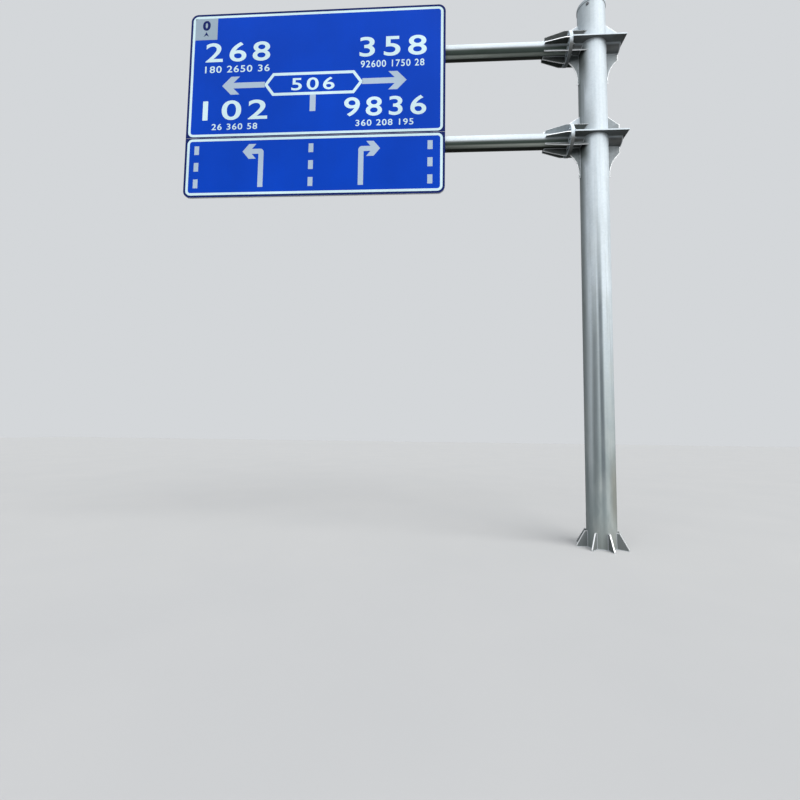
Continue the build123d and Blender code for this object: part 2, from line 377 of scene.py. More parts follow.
def bead_arc(shape, centre, axis, start, sweep, leg, steps=64):
    """A run of weld along an arc round an axis, from a start point and through an angle."""
    outward = Vector(start) - Vector(centre)
    forward = Vector(axis).cross(outward)
    turned = forward.to_track_quat("Z", "Y").to_matrix().to_4x4()
    ring = bmesh.ops.create_circle(shape, segments=bead_sides, radius=leg,
                                   matrix=Matrix.Translation(start) @ turned)
    edges = {edge for vert in ring["verts"] for edge in vert.link_edges}
    whole = math.isclose(abs(sweep), 2 * math.pi)
    bmesh.ops.spin(shape, geom=[*ring["verts"], *edges], cent=centre, axis=axis, angle=sweep,
                   steps=steps, use_merge=whole)


def keep(shape, name, finish):
    """Makes a bmesh a piece of the object, with its finish."""
    bmesh.ops.recalc_face_normals(shape, faces=shape.faces)
    mesh = bpy.data.meshes.new(name)
    shape.to_mesh(mesh)
    shape.free()
    mesh.materials.append(finish)
    piece = bpy.data.objects.new(name, mesh)
    bpy.context.scene.collection.objects.link(piece)
    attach(piece, "root")


def smoothed(shape):
    """Shades a shape's faces smooth, but keeps its sharp edges."""
    sharp = math.radians(40)
    for face in shape.faces:
        face.smooth = True
    for edge in shape.edges:
        edge.smooth = edge.calc_face_angle(0.0) < sharp
    return shape


flange_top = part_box("base_flange")[1].z
mast_low, mast_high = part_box("pole_tube")
mast_radius = mast_high.y
rib_inset = 0.042
rib_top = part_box("base_rib_1")[1].z
rib_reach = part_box("base_flange")[1].x - rib_inset
rib_half = 0.008
rib_turn = math.radians(4)
foot_leg = 0.009
rib_leg = foot_leg * 0.8
weld_sink = 0.001

foot_welds = bmesh.new()
bead_arc(foot_welds, (0.0, 0.0, flange_top), (0.0, 0.0, 1.0), (mast_radius, 0.0, flange_top),
         2 * math.pi, foot_leg)
wall = mast_radius - weld_sink
for number in range(len(rib_names)):
    turn = Matrix.Rotation(rib_turn + number * 2 * math.pi / len(rib_names), 3, "Z")
    for side in (-rib_half, rib_half):
        bead_line(foot_welds, turn @ Vector((wall, side, flange_top)),
                  turn @ Vector((wall, side, rib_top)), rib_leg)
        bead_line(foot_welds, turn @ Vector((mast_radius, side, flange_top)),
                  turn @ Vector((rib_reach, side, flange_top)), rib_leg)
keep(smoothed(foot_welds), "foot_weld_beads", weld_zinc)


# Mast: a long round tube rolled from plate, closed by one seam along its front, with a dished lid
# pressed over its top and a small steel plug in the vent below the lid, coloured near black as a
# painted shadow. Rain has drawn streaks down it. On the side under the arms it carries algae and
# painted shade, darkest in painted shadow just below each joint, and painted shade darkens it
# towards the ground.
levels = ("lower", "upper")
arm_levels = [sum(corner.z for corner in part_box(f"{name}_through_pipe")) / 2 for name in levels]
seam_bearing = math.radians(-99.5)
seam_out = Vector((math.cos(seam_bearing), math.sin(seam_bearing), 0.0))


def streak_at(bearing, full, faint, top, bottom, strength, colour, slant=0.0):
    """A soft streak down the mast at a bearing, between two heights, upright or slightly aslant."""
    out = Vector((math.cos(bearing), math.sin(bearing), 0.0))
    aside = Vector((-math.sin(bearing), math.cos(bearing), -slant))

    def stain(tree, place, cloud):
        away = figured(tree, "ABSOLUTE", along(tree, place, aside))
        height = axes(tree, place)["Z"]
        share = product(tree, spread(tree, away, faint, full),
                        spread(tree, along(tree, place, out), 0.0, 0.1),
                        spread(tree, height, top, bottom, 0.0, strength),
                        spread(tree, height, 0.4, 1.3, 0.15, 1.0),
                        spread(tree, cloud, 0.25, 0.6, 0.75, 1.0))
        return share, colour

    return stain


def run_off(tree, place, cloud):
    """Thin streaks where rain has run down, more of them towards the ground."""
    streak = noise(tree, stretched(tree, place, (26.0, 26.0, 0.55)), scale=1.0, detail=5.0)
    share = product(tree, spread(tree, streak, 0.50, 0.72),
                    spread(tree, axes(tree, place)["Z"], 7.0, 1.0, 0.12, 0.6))
    return share, (0.27, 0.30, 0.31)


def algae_and_joint_shade(tree, place, cloud):
    """Dark algae on the side under the arms, with painted shade over it, darkest in painted shadow
    just below each joint.
    """
    parts = axes(tree, place)
    side, height = parts["X"], parts["Z"]
    lower, upper = arm_levels
    down_mast = product(tree, spread(tree, side, -0.165, -0.198, 0.0, 0.7),
                        spread(tree, height, upper, upper - 0.2),
                        spread(tree, height, 1.2, 3.2, 0.1, 1.0))
    above_arms = product(tree, spread(tree, height, upper + 0.1, upper + 0.3, 0.0, 0.26),
                         spread(tree, side, 0.0, -0.13))
    above_lower = product(tree, spread(tree, height, lower + 0.60, lower + 0.25, 0.0, 0.32),
                          spread(tree, height, lower - 0.05, lower + 0.05),
                          spread(tree, side, 0.0, -0.13))
    between = product(tree, spread(tree, height, upper, upper - 0.2, 0.0, 0.52),
                      spread(tree, height, lower - 0.1, lower + 0.1),
                      spread(tree, side, -0.156, -0.172))
    # Painted shadow just below each joint.
    below = [product(tree, spread(tree, height, level, level - 0.1),
                     spread(tree, height, level - end, level - start, 0.0, 0.9),
                     spread(tree, side, -0.10, -0.165))
             for level, start, end in zip(arm_levels, (0.28, 0.35), (0.50, 0.90))]
    share = product(tree, largest(tree, down_mast, above_arms, above_lower, between, *below),
                    spread(tree, cloud, 0.3, 0.6, 0.8, 1.0))
    return share, (0.085, 0.10, 0.09)


def corner_shadow(tree, place, cloud):
    """Painted shadow in the corners just below the joints."""
    parts = axes(tree, place)
    near = [product(tree, spread(tree, parts["Z"], level + 0.05, level - 0.05),
                    spread(tree, parts["Z"], level - 0.32, level - 0.12, 0.0, 0.85))
            for level in arm_levels]
    share = product(tree, largest(tree, *near), spread(tree, parts["X"], -0.158, -0.178))
    return share, (0.015, 0.018, 0.015)


seam_streak = streak_at(seam_bearing, full=0.015, faint=0.038, top=4.9, bottom=3.4,
                        strength=0.97, colour=(0.11, 0.135, 0.15))
broad_streak = streak_at(seam_bearing - math.radians(30), full=0.014, faint=0.052, top=4.3,
                         bottom=2.9, strength=0.82, colour=(0.14, 0.165, 0.175), slant=0.009)
pale_streak = streak_at(seam_bearing - math.radians(48.5), full=0.02, faint=0.055, top=4.0,
                        bottom=3.2, strength=0.45, colour=(0.62, 0.69, 0.73))
upright_grain = (1.0, 1.0, 0.28)
mast_zinc = galvanised("zinc_on_mast", upright_grain, [
    shade_low_down, blotched, run_off, pale_streak, algae_and_joint_shade, corner_shadow, broad_streak, seam_streak,
    splashed,
])
dress(["pole_tube", "pole_cap"], mast_zinc)

seam_leg = 0.0025
seam_gap = 0.04
seam = bmesh.new()
seam_line = seam_out * (mast_radius - weld_sink)
bead_line(seam, seam_line + Vector((0.0, 0.0, mast_low.z)),
          seam_line + Vector((0.0, 0.0, mast_high.z - seam_gap)), seam_leg)
keep(smoothed(seam), "mast_seam", mast_zinc)


def eased_disc(shape, sides, radius, depth, middle, ease, rings=1):
    """A disc or a prism round the Z axis, with both its rims eased."""
    made = bmesh.ops.create_cone(shape, cap_ends=True, segments=sides, radius1=radius,
                                 radius2=radius, depth=depth,
                                 matrix=Matrix.Translation((0.0, 0.0, middle)))
    rims = {edge for vert in made["verts"] for edge in vert.link_edges
            if abs(edge.verts[0].co.z - edge.verts[1].co.z) < depth / 2}
    bmesh.ops.bevel(shape, geom=list(rims), offset=ease, segments=rings, profile=0.5,
                    affect="EDGES", material=-1)


def vent_shadow(tree, place, cloud):
    """Painted shadow: the plug is made near black, as the shade inside a vent looks."""
    return spread(tree, cloud, 0.2, 0.6, 0.8, 0.95), (0.06, 0.06, 0.065)


vent_bearing = math.radians(-124.5)
vent_height = 8.07
vent_radius = 0.022
vent_depth = 0.012
vent_ease = 0.003
vent_rise = 0.002

plug = bmesh.new()
eased_disc(plug, sides=24, radius=vent_radius, depth=vent_depth, middle=0.0, ease=vent_ease,
           rings=2)
vent_out = Vector((math.cos(vent_bearing), math.sin(vent_bearing), 0.0))
vent_place = vent_out * (mast_radius + vent_rise) + Vector((0.0, 0.0, vent_height))
turned_out = vent_out.to_track_quat("Z", "Y").to_matrix().to_4x4()
bmesh.ops.transform(plug, verts=plug.verts, matrix=Matrix.Translation(vent_place) @ turned_out)
# The plug's near-black colour is a painted shadow.
vent_steel = galvanised("steel_of_vent_plug", even_grain, [vent_shadow])
keep(smoothed(plug), "vent_plug", vent_steel)


# Joint on the mast: at each arm a short pipe runs through the mast and carries a flange. A level
# collar plate, upright gussets and slanting ribs hold it, all plate cut by torch and welded. Painted
# shade darkens the plates' faces below a given height, less on the ribs of the lower arm, and a
# painted highlight brightens their cut edges.
plate_zinc = galvanised("zinc_on_plates", downward_shade=0.9)
# Painted shade on the faces of gussets and arm ribs: how dark, and above what height it stops.
gusset_face_shade = {"lower": 0.95, "upper": 0.86}
arm_side_unshaded = 0.12
far_side_unshaded = 0.10
arm_rib_face_shade = {"lower": 0.2, "upper": 0.88}
arm_rib_downward_shade = {"lower": 0.3, "upper": 0.95}
arm_rib_grain = (6.0, 1.0, 1.0)
bead_leg = 0.007
thin_leg = bead_leg * 0.8
fine_leg = bead_leg * 0.7
slant_half = 0.005
slant_steps = 4
rib_edge_inset = 0.002


def bead_ring(shape, x, level, radius, leg):
    """A weld right round an arm or its short pipe."""
    bead_arc(shape, (x, 0.0, level), (1.0, 0.0, 0.0), (x, 0.0, level + radius), 2 * math.pi, leg)


def bead_saddle(shape, level, radius, side, leg):
    """The weld round a short pipe where it passes through the mast's wall."""
    before = set(shape.verts)
    bead_ring(shape, 0.0, level, radius, leg)
    for vert in set(shape.verts) - before:
        reach = max(mast_radius ** 2 - vert.co.y ** 2, 0.0)
        vert.co.x += side * math.sqrt(reach)


def round_arm(level):
    """The direction round an arm at its level, which is across every rib that stands out from it."""
    def across(tree, place):
        parts = axes(tree, place)
        above = figured(tree, "SUBTRACT", parts["Z"], level)
        return unit(tree, {"Y": product(tree, above, -1.0), "Z": parts["Y"]})

    return across


def depthwise(tree, place):
    """The direction from front to back, which is across every upright gusset."""
    return (0.0, 1.0, 0.0)


def shade_below_arm(level):
    """Painted shade on whatever hangs below an arm's middle."""
    def stain(tree, place, cloud):
        height = axes(tree, place)["Z"]
        return spread(tree, height, level + 0.03, level - 0.03, 0.0, 0.88), (0.075, 0.08, 0.07)

    return stain


def round_pipe(level, angle, x, radius, aside):
    """A point beside a plate that stands out from the pipe at an angle from upright."""
    out = Vector((0.0, math.sin(angle), math.cos(angle)))
    across = Vector((0.0, math.cos(angle), -math.sin(angle)))
    return Vector((x, 0.0, level)) + out * radius + across * aside


def on_mast(y, z):
    """A point on the mast's surface, on the side of the arms."""
    return Vector((-math.sqrt(mast_radius ** 2 - y ** 2), y, z))


for name in levels:
    pipe_low, pipe_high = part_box(f"{name}_through_pipe")
    pipe_radius = pipe_high.y
    level = (pipe_low.z + pipe_high.z) / 2
    dress([f"{name}_{piece}" for piece in (
        "through_pipe", "pipe_end_disc", "collar_plate", "pole_flange", "arm_flange")], plate_zinc)
    for side, unshaded_height in (("arm_side", level + arm_side_unshaded),
                        ("far_side", arm_levels[1] + far_side_unshaded)):
        dress([f"{name}_{side}_gussets"], galvanised(
            f"zinc_on_{name}_{side}_gussets", across=depthwise, face_shade=gusset_face_shade[name],
            unshaded_above=unshaded_height))
    dress([f"{name}_slanting_ribs"], galvanised(
        f"zinc_on_{name}_slanting_ribs", across=round_arm(level)))
    dress([f"{name}_arm_ribs"], galvanised(
        f"zinc_on_{name}_arm_ribs", arm_rib_grain, [shade_below_arm(level)], across=round_arm(level),
        downward_shade=arm_rib_downward_shade[name], face_shade=arm_rib_face_shade[name]))
    mast_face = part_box(f"{name}_pole_flange")[1].x
    collar_low, collar_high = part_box(f"{name}_collar_plate")
    rib_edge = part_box(f"{name}_pole_flange")[1].y - rib_edge_inset
    tail = pipe_high.x
    gusset_low, gusset_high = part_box(f"{name}_arm_side_gussets")
    gusset_half = gusset_high.y

    welds = bmesh.new()
    for side in (-1, 1):
        bead_saddle(welds, level, pipe_radius, side, bead_leg)
    bead_ring(welds, mast_face, level, pipe_radius, bead_leg)
    bead_ring(welds, tail, level, pipe_radius, fine_leg)

    clear = math.asin(pipe_radius / mast_radius)
    near = mast_radius * math.cos(clear)
    for height in (collar_low.z, collar_high.z):
        for front in (-1, 1):
            start = (near, front * mast_radius * math.sin(clear), height)
            bead_arc(welds, (0.0, 0.0, height), (0.0, 0.0, 1.0), start,
                     front * (math.pi - 2 * clear), bead_leg, steps=32)
            beside = front * (pipe_radius - weld_sink / 2)
            bead_line(welds, (mast_face, beside, height), (-near, beside, height), bead_leg)
            bead_line(welds, (near, beside, height), (tail, beside, height), bead_leg)

    for aside in (-gusset_half, gusset_half):
        for x in (-1, 1):
            wall = x * (mast_radius - weld_sink)
            bead_line(welds, (wall, aside, level + pipe_radius), (wall, aside, gusset_high.z),
                      bead_leg)
            bead_line(welds, (wall, aside, gusset_low.z), (wall, aside, level - pipe_radius),
                      bead_leg)
            end = mast_face if x < 0 else tail
            for above in (-1, 1):
                height = level + above * (pipe_radius - weld_sink)
                bead_line(welds, (wall, aside, height), (end, aside, height), bead_leg)

    for quarter in range(4):
        angle = math.radians(45 + 90 * quarter)
        for aside in (-slant_half, slant_half):
            foot = round_pipe(level, angle, 0.0, pipe_radius, aside)
            tip = round_pipe(level, angle, 0.0, rib_edge, aside)
            stops = [foot.lerp(tip, step / slant_steps) for step in range(slant_steps + 1)]
            stops = [on_mast(stop.y, stop.z) for stop in stops]
            for start, end in zip(stops, stops[1:]):
                bead_line(welds, start, end, thin_leg)
            flange_foot = round_pipe(level, angle, mast_face, pipe_radius, aside)
            bead_line(welds, flange_foot, stops[0], thin_leg)
            bead_line(welds, flange_foot, round_pipe(level, angle, mast_face, rib_edge, aside),
                      thin_leg)
    keep(smoothed(welds), f"{name}_joint_welds", weld_zinc)


# Bolted joint of each arm: two flanges face to face, drawn together by eight hexagon bolts with
# a washer at both ends. The nuts are on the mast's side, the heads on the arm's.
bolt_zinc = galvanised("zinc_on_bolts")
bolt_count = 8
bolt_radius = 0.012
bolt_pitch = 0.003
bolt_tail = 0.012
bolt_flats = 0.036
bolt_head = 0.015
bolt_nut = 0.0215
washer_radius = 0.022
washer = 0.004
bolt_circle_inset = 0.0525


def hexagon(shape, height, flats, middle):
    """A hexagon head or nut, its corners eased at both ends."""
    eased_disc(shape, 6, flats / math.sqrt(3), height, middle, ease=height * 0.1)


def washer_ring(shape, radius, height, middle):
    """A flat washer with a rolled edge."""
    eased_disc(shape, 28, radius, height, middle, ease=height * 0.2)


def threaded_rod(shape, radius, low, high, pitch):
    """A rod whose ridges are turned one by one from a zigzag, and whose ends are flat."""
    count = max(2, round((high - low) / pitch))
    end_radius, root_radius = radius * 0.85, radius * 0.88
    profile = [(0.0, low), (end_radius, low)]
    for ridge in range(count):
        profile.append((radius, low + (ridge + 0.5) * (high - low) / count))
        profile.append((root_radius, low + (ridge + 1) * (high - low) / count))
    profile.append((0.0, high))
    verts = [shape.verts.new((out, 0.0, height)) for out, height in profile]
    edges = [shape.edges.new(pair) for pair in zip(verts, verts[1:])]
    bmesh.ops.spin(shape, geom=[*verts, *edges], cent=(0.0, 0.0, 0.0), axis=(0.0, 0.0, 1.0),
                   angle=2 * math.pi, steps=16, use_merge=True)


def stamped(pattern, places):
    """Copies one shape to every place in a list of matrices, as one bmesh."""
    source = bpy.data.meshes.new("pattern")
    bmesh.ops.recalc_face_normals(pattern, faces=pattern.faces)
    pattern.to_mesh(source)
    pattern.free()
    copies = bmesh.new()
    for place in places:
        before = set(copies.verts)
        copies.from_mesh(source)
        bmesh.ops.transform(copies, matrix=place, verts=list(set(copies.verts) - before))
    bpy.data.meshes.remove(source)
    return copies


turned_along_arm = Matrix.Rotation(math.pi / 2, 4, "Y")
for name in levels:
    joint_low, joint_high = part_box(f"{name}_arm_flange")[0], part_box(f"{name}_pole_flange")[1]
    middle = Vector(((joint_low.x + joint_high.x) / 2, 0.0, (joint_low.z + joint_high.z) / 2))
    outer = (joint_high.x - joint_low.x) / 2
    beyond = outer + washer
    bolt = bmesh.new()
    hexagon(bolt, bolt_head, bolt_flats, -beyond - bolt_head / 2)
    washer_ring(bolt, washer_radius, washer, -outer - washer / 2)
    washer_ring(bolt, washer_radius, washer, outer + washer / 2)
    hexagon(bolt, bolt_nut, bolt_flats, beyond + bolt_nut / 2)
    threaded_rod(bolt, bolt_radius, beyond, beyond + bolt_nut + bolt_tail, bolt_pitch)
    places = [
        Matrix.Translation(middle)
        @ Matrix.Rotation((number + 0.5) * 2 * math.pi / bolt_count, 4, "X")
        @ Matrix.Translation((0.0, 0.0, joint_high.y - bolt_circle_inset))
        @ turned_along_arm
        for number in range(bolt_count)
    ]
    keep(stamped(bolt, places), f"{name}_flange_bolts", bolt_zinc)


# Arms: two seamed tubes with eight tapered ribs behind each flange and a welded disc at the far
# end. Their upper halves are washed bright; their undersides carry green-black painted shade, with
# a pale strip of painted reflection along the front of the underside, strongest by the mast on the
# lower arm and by the sign on the upper.
arm_grain = (0.3, 1.0, 1.0)
arm_rib_count = 8
end_leg = bead_leg * 0.6
# Where the painted reflection strip lies along the arms, how steep it is and how strong at each end.
strip_sign_end, strip_mast_end = -2.15, -1.0
strip_steepness = {"lower": 55, "upper": 67}
strip_by_sign = {"lower": 0.45, "upper": 1.0}
strip_by_mast = {"lower": 0.95, "upper": 0.6}


def arm_underside_shade(tree, place, cloud):
    """Painted shade, green-black, on the underside of an arm."""
    upward = axes(tree, node(tree, "NewGeometry").outputs["Normal"])["Z"]
    return spread(tree, upward, -0.15, -0.45, 0.0, 0.7), (0.05, 0.085, 0.07)


def road_reflection_strip(steep, by_sign, by_mast):
    """Painted reflection of the ground: a pale strip along the front of an arm's underside."""
    strip_out = (0.0, -math.cos(steep), -math.sin(steep))

    def stain(tree, place, cloud):
        lean = along(tree, node(tree, "NewGeometry").outputs["Normal"], strip_out)
        reflection_strength = spread(tree, axes(tree, place)["X"], strip_sign_end, strip_mast_end, by_sign,
                      by_mast)
        share = product(tree, spread(tree, lean, 0.955, 0.993), reflection_strength,
                        spread(tree, cloud, 0.3, 0.6, 0.7, 1.0))
        return share, (0.75, 0.81, 0.75)

    return stain


def arm_bottom_shade(steep):
    """Painted shade at its darkest, at the very bottom of an arm and behind it."""
    edge = -math.cos(steep)

    def stain(tree, place, cloud):
        facing = axes(tree, node(tree, "NewGeometry").outputs["Normal"])
        share = product(tree, spread(tree, facing["Y"], edge + 0.10, edge + 0.32, 0.0, 0.88),
                        spread(tree, facing["Z"], -0.3, -0.6))
        return share, (0.022, 0.022, 0.017)

    return stain


for name in levels:
    steep = math.radians(strip_steepness[name])
    arm_painted_light = [arm_underside_shade, road_reflection_strip(steep, strip_by_sign[name], strip_by_mast[name]),
                   arm_bottom_shade(steep)]
    dress([f"{name}_arm_tube", f"{name}_arm_end_cap"],
          galvanised(f"zinc_on_{name}_arm", arm_grain, arm_painted_light))
    arm_low, arm_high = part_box(f"{name}_arm_tube")
    arm_radius = arm_high.y
    level = (arm_low.z + arm_high.z) / 2
    flange_low, flange_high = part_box(f"{name}_arm_flange")
    arm_face = flange_low.x
    rib_edge = flange_high.y - rib_edge_inset
    rib_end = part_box(f"{name}_arm_ribs")[0].x

    welds = bmesh.new()
    bead_ring(welds, arm_face, level, arm_radius, bead_leg)
    bead_ring(welds, arm_low.x, level, arm_radius, end_leg)
    for number in range(arm_rib_count):
        angle = number * 2 * math.pi / arm_rib_count
        for aside in (-slant_half, slant_half):
            foot = round_pipe(level, angle, arm_face, arm_radius, aside)
            bead_line(welds, foot, round_pipe(level, angle, rib_end, arm_radius, aside), thin_leg)
            bead_line(welds, foot, round_pipe(level, angle, arm_face, rib_edge, aside), thin_leg)
    keep(smoothed(welds), f"{name}_arm_welds", weld_zinc)


# Clamps: at each rail a bent bracket in front of the arm and a strap hoop behind it, drawn
# together by two long bolts whose flat heads sit in the rail's slot.
dress(["lower_clamps", "upper_clamps"], galvanised("zinc_on_clamps"))
rail_names = sorted(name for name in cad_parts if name.startswith("sign_rail"))
rail_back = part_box(rail_names[0])[1].y
rail_wall = 0.004
rail_to_axis = 0.162
axis_to_strap = 0.019
strap_back = rail_back + rail_to_axis + axis_to_strap
slot_head = (0.030, 0.018, 0.006)
slot_head_ease = 0.0012
clamp_bolt_radius = 0.008
clamp_bolt_pitch = 0.004
clamp_bolt_tail = 0.030
clamp_bolt_overlap = 0.001
clamp_washer_radius = 0.015
clamp_washer = 0.003
clamp_nut = 0.0148
clamp_flats = 0.024
ear_reach = 0.024

slot_floor = rail_back - rail_wall
clamp_bolt = bmesh.new()
head_place = Matrix.Translation((0.0, 0.0, slot_floor - slot_head[2] / 2))
bmesh.ops.create_cube(clamp_bolt, size=1.0, matrix=head_place @ Matrix.Diagonal((*slot_head, 1.0)))
bmesh.ops.bevel(clamp_bolt, geom=list(clamp_bolt.edges), offset=slot_head_ease, segments=1,
                profile=0.5, affect="EDGES", material=-1)
threaded_rod(clamp_bolt, clamp_bolt_radius, slot_floor - clamp_bolt_overlap,
             strap_back + clamp_bolt_tail, clamp_bolt_pitch)
washer_ring(clamp_bolt, clamp_washer_radius, clamp_washer, strap_back + clamp_washer / 2)
hexagon(clamp_bolt, clamp_nut, clamp_flats, strap_back + clamp_washer + clamp_nut / 2)
laid_back = Matrix.Rotation(-math.pi / 2, 4, "X")
places = []
for name in levels:
    arm_low, arm_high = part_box(f"{name}_arm_tube")
    level = (arm_low.z + arm_high.z) / 2
    for rail in rail_names:
        rail_low, rail_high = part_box(rail)
        for above in (-1, 1):
            height = level + above * (arm_high.y + ear_reach)
            middle = Vector(((rail_low.x + rail_high.x) / 2, 0.0, height))
            places.append(Matrix.Translation(middle) @ laid_back)
keep(stamped(clamp_bolt, places), "clamp_bolts", bolt_zinc)


# Rails and trays: slotted channels pressed out of aluminium stand on the back of two trays folded
# from aluminium sheet. The back stays bare metal, with the lines that the rolls and the die leave.
def bare_aluminium(name, pale, dull, lines):
    """Mill-finish aluminium: satin, with fine lines in the direction that it was drawn."""
    finish, tree, shader, place = new_finish(name)
    streak = noise(tree, stretched(tree, place, lines), scale=1.0, detail=6.0, roughness=0.7)
    tarnish = spread(tree, noise(tree, place, scale=1.4, detail=5.0), 0.45, 0.75, 0.0, 0.35)
    drawn = tinted(tree, spread(tree, streak, 0.3, 0.7), dull, pale)
    fill(tree, shader, {
        "Base Color": tinted(tree, tarnish, drawn, (0.34, 0.345, 0.34)),
        "Metallic": 0.55,
        "Roughness": spread(tree, streak, 0.3, 0.7, 0.36, 0.50),
        "Normal": bumped(tree, streak, strength=0.2, distance=0.0006),
    })
    return finish


dress(rail_names, bare_aluminium("extruded_aluminium", pale=(0.68, 0.70, 0.72),
                                 dull=(0.56, 0.58, 0.60), lines=(160.0, 160.0, 0.8)))
dress(["sign_tray_lower", "sign_tray_upper"],
      bare_aluminium("sheet_aluminium", pale=(0.62, 0.64, 0.67), dull=(0.50, 0.52, 0.55),
                     lines=(1.2, 1.0, 120.0)))


# Facing of the sign: retroreflective film in cut sheets, laid one on another. A dark blue sheet
# covers each tray, then the blue field and a white border, with a margin left round both.
film_thickness = 0.0004
margin_layer, field_layer, mark_layer, top_layer = range(4)
tray_low, tray_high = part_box("sign_tray_upper")
sign_left, sign_front, sign_top = tray_low.x, tray_low.y, tray_high.z
sign_width = tray_high.x - sign_left
sign_height = sign_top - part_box("sign_tray_lower")[0].z
upper_edge = sign_top - tray_low.z
lower_edge = sign_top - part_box("sign_tray_lower")[1].z
tray_corner = 0.110
margin = 0.034
split_margin = 0.016
border_width = 0.038
border_corner = 0.080


def sheeting(name, colour, cell_share):
    """Retroreflective film: satin, with the fine honeycomb that seals it and streaks of dust."""
    finish, tree, shader, place = new_finish(name)
    cells = node(tree, "TexVoronoi", {"Vector": place, "Scale": 200.0, "Randomness": 0.3},
                 feature="DISTANCE_TO_EDGE").outputs["Distance"]
    shaded = tuple(part * 0.86 for part in colour)
    cell_wall = tuple(part * 0.62 for part in colour)
    broad = noise(tree, place, scale=0.9, detail=3.0)
    body = tinted(tree, spread(tree, broad, 0.35, 0.65), shaded, colour)
    body = tinted(tree, spread(tree, cells, 0.0, 0.12, cell_share, 0.0), body, cell_wall)
    dust = noise(tree, stretched(tree, place, (7.0, 7.0, 0.5)), scale=1.0, detail=6.0)
    body = tinted(tree, spread(tree, dust, 0.5, 0.85, 0.0, 0.07), body, (0.02, 0.05, 0.12))
    fill(tree, shader, {
        "Base Color": body,
        "Roughness": spread(tree, dust, 0.3, 0.8, 0.40, 0.55),
        "Specular IOR Level": 0.04,
    })
    return finish


def on_sign(across, down, layer):
    """A place on the sign, measured from its top left corner, on one of the films."""
    return Vector((sign_left + across, sign_front - layer * film_thickness, sign_top - down))


def film(shape, outline, layer, radius=0.0, rounded=None, border=0.0):
    """Cuts a sheet of film to an outline, rounds its corners and lays it on a layer."""
    cut = bmesh.new()
    corners = [cut.verts.new(on_sign(across, down, layer)) for across, down in outline]
    cut.faces.new(corners)
    cut.normal_update()
    if radius:
        chosen = corners if rounded is None else [corners[number] for number in rounded]
        bmesh.ops.bevel(cut, geom=chosen, offset=radius, segments=10, profile=0.5,
                        affect="VERTICES", material=-1)
    if border:
        rim = bmesh.ops.inset_region(cut, faces=list(cut.faces), thickness=border,
                                     use_boundary=True, use_even_offset=True)["faces"]
        middle = [face for face in cut.faces if face not in set(rim)]
        bmesh.ops.delete(cut, geom=middle, context="FACES")
    thickened(cut)
    add_to(shape, cut)


def thickened(cut):
    """Gives a flat film its thickness, outwards from the sign."""
    lifted = bmesh.ops.extrude_face_region(cut, geom=list(cut.faces))["geom"]
    verts = [part for part in lifted if isinstance(part, bmesh.types.BMVert)]
    bmesh.ops.translate(cut, verts=verts, vec=(0.0, -film_thickness, 0.0))


def add_to(shape, cut):
    """Moves a finished cut into the shape that gathers its like."""
    loose = bpy.data.meshes.new("cut")
    cut.to_mesh(loose)
    cut.free()
    shape.from_mesh(loose)
    bpy.data.meshes.remove(loose)


def rectangle(left, top, right, bottom):
    """The outline of a rectangle on the sign."""
    return [(left, top), (right, top), (right, bottom), (left, bottom)]


strong_cells, faint_cells = 0.4, 0.12
blue_film = sheeting("blue_film", (0.0, 0.056, 0.545), strong_cells)
navy_film = sheeting("navy_film", (0.006, 0.017, 0.13), strong_cells)
white_film = sheeting("white_film", (0.69, 0.90, 0.97), faint_cells)
grey_film = sheeting("grey_film", (0.455, 0.575, 0.72), faint_cells)
north_film = sheeting("north_film", (0.34, 0.44, 0.54), faint_cells)

top_corners, bottom_corners = (0, 1), (2, 3)
navy = bmesh.new()
film(navy, rectangle(0.0, 0.0, sign_width, upper_edge), margin_layer, tray_corner, top_corners)
film(navy, rectangle(0.0, lower_edge, sign_width, sign_height), margin_layer, tray_corner,
     bottom_corners)
keep(navy, "navy_margin", navy_film)

panels = (
    rectangle(margin, margin, sign_width - margin, upper_edge - split_margin),
    rectangle(margin, lower_edge + split_margin, sign_width - margin, sign_height - margin),
)
field, border = bmesh.new(), bmesh.new()
for panel in panels:
    film(field, panel, field_layer, border_corner)
    film(border, panel, mark_layer, border_corner, border=border_width)
keep(field, "blue_field", blue_film)
keep(border, "white_borders", white_film)


# Direction panel: film cut into a long lozenge with an arrow out of each end and a stem below,
# the north square in its corner, and plain numbers where the places would be named.
middle_line = 1.978
lozenge_reach = 0.769
lozenge_top, lozenge_bottom = 1.023, 1.394
lozenge_shoulder = 0.135
lozenge_line = 0.045
arrow_tip = 1.436
arrow_line = 1.205
arrow_half = 0.0465
barb_rise = 0.147
barb_back = 0.142
barb_width = 0.137
arrow_overlap = 0.01
stem_half = 0.045
stem_end = 1.660


def arrow(tip, line, way, half, rise, back, width, shaft):
    """The outline of an arrow to the left or right: its barbed head, and its shaft's far points."""
    heel = tip - way * back
    neck = tip - way * (back * half / rise + width)
    return [
        (tip, line),
        (heel, line - rise),
        (heel - way * width, line - rise),
        (neck, line - half),
        *shaft,
        (neck, line + half),
        (heel - way * width, line + rise),
        (heel, line + rise),
    ]


lozenge = bmesh.new()
lozenge_middle = (lozenge_top + lozenge_bottom) / 2
lozenge_left, lozenge_right = middle_line - lozenge_reach, middle_line + lozenge_reach
film(lozenge, [
    (lozenge_left, lozenge_middle),
    (lozenge_left + lozenge_shoulder, lozenge_top),
    (lozenge_right - lozenge_shoulder, lozenge_top),
    (lozenge_right, lozenge_middle),
    (lozenge_right - lozenge_shoulder, lozenge_bottom),
    (lozenge_left + lozenge_shoulder, lozenge_bottom),
], mark_layer, border=lozenge_line)
keep(lozenge, "road_lozenge", white_film)

